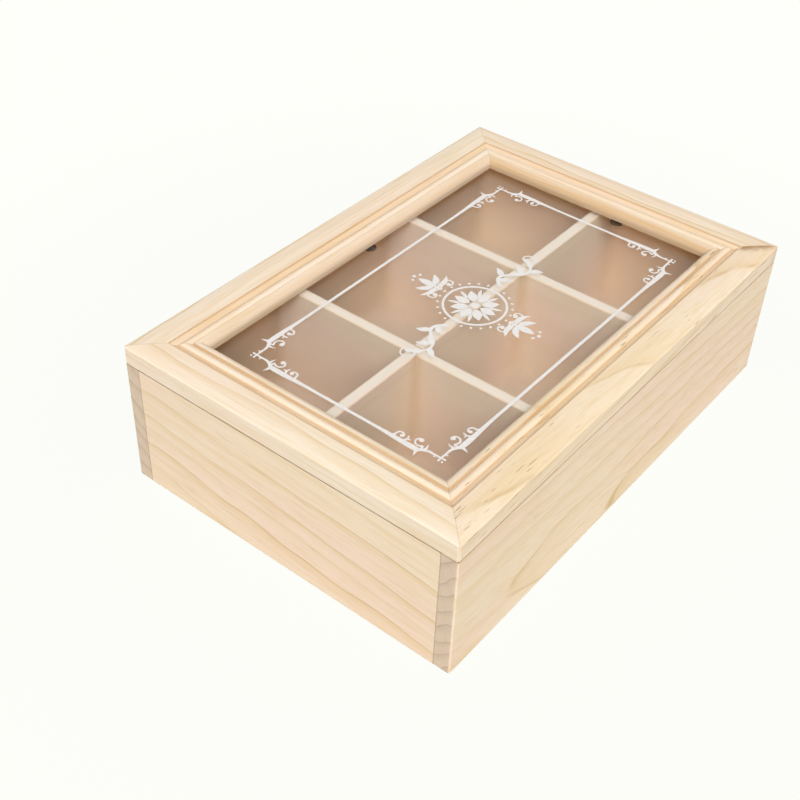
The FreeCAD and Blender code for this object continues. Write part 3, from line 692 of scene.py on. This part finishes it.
def leaf(start, tip, bend, width, count=32):
    """A leaf: a path that bows sideways by bend, with a half width that follows a sine raised to a
    power, so that the leaf is full near its foot and ends in a point."""
    start = np.asarray(start, float)
    t = np.linspace(0.0, 1.0, count)[:, None]
    along = np.asarray(tip, float) - start
    side = np.array((-along[1], along[0]))
    path = start + along * t + side * bend * np.sin(np.pi * t)
    half = width * np.sin(np.pi * t[:, 0] ** 0.8) ** 0.9
    return path, np.maximum(half, 0.10)


def scroll(foot, middle, wide, tight, from_turn, to_turn, ball):
    """A curl with a round end: a spiral that narrows inwards, a stroke from its foot to its start, and
    a spot at its end."""
    turn = spiral(middle, wide, tight, from_turn, to_turn)
    leave = foot + (turn[0] - foot) * 0.4
    arrive = turn[0] - (turn[1] - turn[0]) * 6.0
    reach = curve(foot, leave, arrive, turn[0], 12)
    end = turn[-1] * 0.6 + np.asarray(middle) * 0.4
    return [even(np.concatenate([reach, turn[1:]]), 0.42, 0.34), dot(end, ball)]


def moved(strokes, place):
    """Strokes with their points carried by a function of the path."""
    return [(place(path), half) for path, half in strokes]


def corner_arm():
    """One arm of a corner, from the end of the plain border line towards the corner: X runs along the
    border away from the corner, Y inwards from the border's middle line."""
    swell = curve((ARM_LENGTH, 0.0), (24.0, 0.0), (18.0, -0.5), (10.6, -0.1), 40)
    places = (10.6, 12.0, 15.0, 21.0, 29.0, ARM_LENGTH)
    half_widths = (0.85, 1.15, 1.25, 1.05, 0.75, LINE_HALF_WIDTH)
    strokes = [
        (swell, np.interp(swell[:, 0], places, half_widths)),
        even(curve((11.2, 0.2), (9.4, 1.2), (8.6, 2.0), (6.0, 1.9)), 0.80, 0.48),
        even(curve((6.4, 1.9), (4.8, 1.85), (3.0, 2.0), (0.5, 2.0)), 0.48, 0.36),
        even(curve((11.8, -0.4), (11.4, -1.6), (11.0, -2.4), (10.7, -3.7)), 0.80, 0.12),
        even(curve((9.6, 1.4), (9.0, 2.2), (9.4, 3.4), (9.9, 4.7)), 0.68, 0.12),
        even(curve((18.6, 0.7), (17.8, 1.6), (17.8, 2.6), (18.4, 3.9)), 0.48, 0.28),
        even(curve((18.0, 2.3), (17.4, 2.1), (17.0, 2.1), (16.6, 2.4)), 0.34, 0.26),
        even(curve((4.6, 1.8), (4.4, 1.4), (4.4, 1.0), (4.5, 0.5)), 0.36, 0.26),
        dot((0.3, 2.0), 0.52),
    ]
    strokes += scroll(np.array((10.6, 0.8)), (13.2, 4.1), 2.45, 1.55, -135.0, 80.0, 1.0)
    strokes += scroll(np.array((24.2, 0.4)), (21.3, 2.2), 1.95, 1.25, -20.0, 175.0, 0.82)
    return strokes


def border():
    """The frame line: four plain middle runs, and in each corner an arm along both sides, the second
    being the first mirrored in the corner's diagonal, with a spot where they cross."""
    far = np.array((BORDER_HALF_LENGTH, BORDER_HALF_DEPTH))
    run_x, run_y = (np.linspace(-end, end, RUN_POINTS) for end in far - ARM_LENGTH + ARM_OVERLAP)
    arm = corner_arm()
    strokes = []
    for side in (-1.0, 1.0):
        along_x = np.column_stack([run_x, np.full(RUN_POINTS, side * far[1])])
        along_y = np.column_stack([np.full(RUN_POINTS, side * far[0]), run_y])
        strokes += [even(line, LINE_HALF_WIDTH, LINE_HALF_WIDTH) for line in (along_x, along_y)]
        for end in (-1.0, 1.0):
            corner = far * (end, side)
            inwards = -np.sign(corner)
            strokes += moved(arm, lambda path: corner + inwards * path)
            strokes += moved(arm, lambda path: corner + inwards * path[:, ::-1])
            strokes.append(dot(corner + inwards * 0.35, 0.45))
    return strokes


def spoke(turn):
    """The point at distance 1 from the middle, at an angle in radians."""
    return np.array((math.cos(turn), math.sin(turn)))


def rosette():
    """The middle of the ornament: petals round a spot, thin leaves between them, a ring, and a wreath
    of small spots."""
    strokes = [dot((0.0, 0.0), 2.0)]
    for turn in np.radians(np.arange(0.0, 360.0, 360.0 / PETAL_COUNT)):
        way = spoke(turn)
        between = spoke(turn + math.pi / PETAL_COUNT)
        strokes.append(leaf(way * 3.0, way * 10.6, bend=0.0, width=2.15))
        strokes.append(leaf(between * 6.2, between * 12.0, bend=0.0, width=0.75))
    strokes.append(even(spiral((0.0, 0.0), RING_RADIUS, RING_RADIUS, 0.0, 360.0, 120), 0.55, 0.55))
    for turn in np.radians(np.arange(0.0, 360.0, 360.0 / WREATH_SPOTS)):
        strokes.append(dot(WREATH_RADIUS * spoke(turn), 0.62, 16))
    return strokes


def vine():
    """A leafy tendril to the right of the rosette: a wave whose leaves stand on alternate sides, with
    a curl at its end."""
    t = np.linspace(0.0, 1.0, 80)
    wave = VINE_WAVE * np.sin(2.0 * np.pi * t) * (1.0 - 0.35 * t)
    stem = np.column_stack([VINE_START + VINE_LENGTH * t, wave])
    strokes = [even(stem, 0.85, 0.55)]
    strokes += scroll(stem[-1], (43.4, 2.4), 3.6, 1.9, -110.0, 170.0, 1.4)
    for k, leaf_length in enumerate(VINE_LEAF_LENGTHS):
        side = -1 if k % 2 == 0 else 1
        foot = stem[10 + 12 * k]
        tip = foot + leaf_length * np.array((0.62, side * 0.78))
        strokes.append(leaf(foot, tip, bend=-0.10 * side, width=1.45))
    return strokes


def spray():
    """A sprig above the rosette: an upright leaf between two leaning pairs, a pair of curls below
    them, and three spots over the tip."""
    strokes = [even(curve((0.0, 17.6), (0.0, 19.5), (0.0, 21.0), (0.0, 23.0)), 0.75, 0.55)]
    strokes.append(leaf((0.0, 22.0), (0.0, 30.4), bend=0.0, width=1.8))
    for side in (-1.0, 1.0):
        strokes.append(leaf((0.0, 22.0), (side * 6.6, 27.0), bend=-0.12 * side, width=1.5))
        strokes.append(leaf((0.0, 20.6), (side * 9.4, 22.2), bend=-0.14 * side, width=1.25))
        strokes.append(dot((side * 2.6, 31.4), 0.7))
        curl = scroll(np.array((0.0, 18.4)), (5.6, 18.0), 2.5, 1.4, 130.0, -150.0, 1.05)
        strokes += moved(curl, lambda path: path * (side, 1.0))
    strokes.append(dot((0.0, 32.6), 0.85))
    return strokes


def ornament():
    """The design in the middle of the pane: a rosette, a vine to each side, and a sprig above and
    below."""
    strokes = rosette()
    for side in (-1.0, 1.0):
        strokes += moved(vine(), lambda path: path * (side, 1.0))
        strokes += moved(spray(), lambda path: path * (1.0, side))
    return strokes


def strip(path, half, level):
    """The film of ink along one stroke. The two edges of its upper face lie a half width to either
    side of the path, square to it, and its lower face lies straight below. A level sets it a little
    higher, so that no two films share a plane."""
    way = np.gradient(path, axis=0)
    way /= np.linalg.norm(way, axis=1, keepdims=True)
    side = np.column_stack([-way[:, 1], way[:, 0]]) * half[:, None]
    top = GLASS_TOP + INK_CLEARANCE + INK_FILM + level * LAYER_STEP
    count = len(path)
    points = np.empty((count, 4, 3))
    points[:, (0, 1), :2] = (path + side)[:, None]
    points[:, (2, 3), :2] = (path - side)[:, None]
    points[:, (0, 3), 2] = top
    points[:, (1, 2), 2] = top - INK_FILM
    ring = 4 * np.arange(count - 1)[:, None] + np.arange(4)
    after = 4 * np.arange(count - 1)[:, None] + np.roll(np.arange(4), -1)
    walls = np.stack([ring, ring + 4, after + 4, after], axis=-1).reshape(-1, 4)
    last = 4 * (count - 1)
    ends = np.array([(0, 1, 2, 3), (last + 3, last + 2, last + 1, last)])
    return points.reshape(-1, 3), np.concatenate([walls, ends])


def printed(name, strokes, material):
    """One piece from many strokes."""
    films = [strip(path + PRINT_MIDDLE, half, level) for level, (path, half) in enumerate(strokes)]
    firsts = np.cumsum([0] + [len(points) for points, _ in films[:-1]])
    points = np.concatenate([film[0] for film in films])
    faces = np.concatenate([film[1] + first for film, first in zip(films, firsts)])
    new_piece(name, points, faces, material)


def print_pane():
    """The white print: a border with scrolled corners round an ornament."""
    ink = white_ink()
    printed("printed_border", border(), ink)
    printed("printed_ornament", ornament(), ink)


# The stage, in metres

WHITE = (0.991, 1.0, 0.956, 1.0)
SOFT_LIGHT = (1.0, 1.0, 1.0, 1.0)
PALE_FLOOR = (0.70, 0.70, 0.69, 1.0)
FLOOR_HALF_SIZE = 6.0
FLOOR_DROP = 0.00005
LAMP_SIZE = 2.6
LAMP_AIM = (0.0, 0.0, 0.05)
LAMPS = {
    "window": dict(place=(-2.12, -2.05, 5.16), power=207.0),
    "fill": dict(place=(-3.46, -2.91, 3.84), power=170.0),
}


def seen_straight(tree):
    """1 for what the camera sees straight, in gloss or through glass, 0 for light on its way to the
    box."""
    path = add(tree, "ShaderNodeLightPath").outputs
    seen = maths(tree, "MAXIMUM", path["Is Camera Ray"], path["Is Glossy Ray"])
    seen = maths(tree, "MAXIMUM", seen, path["Is Transmission Ray"])
    return product(tree, seen, maths(tree, "LESS_THAN", path["Diffuse Depth"], 0.5))


def backdrop():
    """A white world. What is seen of it is plain white, and the light that it sheds is softer."""
    world = bpy.data.worlds.new("white_studio")
    bpy.context.scene.world = world
    world.use_nodes = True
    tree = world.node_tree
    tree.nodes.clear()
    soft = add(tree, "ShaderNodeBackground", {"Color": SOFT_LIGHT, "Strength": 0.25}).outputs[0]
    white = add(tree, "ShaderNodeBackground", {"Color": WHITE, "Strength": 1.0}).outputs[0]
    sky = mixed_shader(tree, seen_straight(tree), soft, white)
    add(tree, "ShaderNodeOutputWorld", {"Surface": sky})


def floor():
    """A wide pale floor just under the base. It keeps the box's soft shadow, and its far part fades
    into the backdrop."""
    corners = np.array([(-1, -1), (1, -1), (1, 1), (-1, 1)], float) * FLOOR_HALF_SIZE
    points = np.column_stack([corners, np.full(4, -FLOOR_DROP)])
    mesh = bpy.data.meshes.new("floor")
    mesh.from_pydata(points.tolist(), [], [(0, 1, 2, 3)])
    plane = bpy.data.objects.new("floor", mesh)
    bpy.context.scene.collection.objects.link(plane)
    material, tree = new_material("pale_floor")
    matt = add(tree, "ShaderNodeBsdfDiffuse", {"Color": PALE_FLOOR}).outputs[0]
    glow = add(tree, "ShaderNodeEmission", {"Color": WHITE, "Strength": 1.0}).outputs[0]
    away = length(tree, place_on_part(tree))
    glowing = from_to(tree, away, low=0.15, high=0.35, new_low=0.92)
    finish_material(tree, mixed_shader(tree, product(tree, seen_straight(tree), glowing), matt, glow))
    mesh.materials.append(material)


def lamp(name, place, power):
    """A square soft light that faces the box, and that no gloss mirrors."""
    light = bpy.data.lights.new(name, "AREA")
    light.size = LAMP_SIZE
    light.energy = power
    lamp_object = bpy.data.objects.new(name, light)
    lamp_object.location = place
    lamp_object.rotation_mode = "QUATERNION"
    lamp_object.rotation_quaternion = (Vector(LAMP_AIM) - Vector(place)).to_track_quat("-Z", "Y")
    lamp_object.visible_glossy = False
    bpy.context.scene.collection.objects.link(lamp_object)


def camera():
    """The photograph's view: from the front left and above, a little rolled."""
    azimuth, elevation, roll = (math.radians(a) for a in (-52.77, 40.47, 2.26))
    aim = Vector((-0.01560, 0.02402, 0.00674))
    distance = 0.5785
    back = Vector((
        math.sin(azimuth) * math.cos(elevation),
        -math.cos(azimuth) * math.cos(elevation),
        math.sin(elevation),
    ))
    lens = bpy.data.cameras.new("photo_view")
    lens.sensor_width = 36.0
    lens.lens = 57.18
    view = bpy.data.objects.new("photo_view", lens)
    view.location = aim + back * distance
    view.rotation_mode = "QUATERNION"
    level = (-back).to_track_quat("-Z", "Y")
    view.rotation_quaternion = level @ Quaternion((0.0, 0.0, 1.0), roll)
    bpy.context.scene.collection.objects.link(view)
    bpy.context.scene.camera = view


bpy.context.scene.view_settings.view_transform = "Standard"
paint_part()
glaze()
print_pane()
backdrop()
floor()
for lamp_name, hung in LAMPS.items():
    lamp(lamp_name, **hung)
camera()
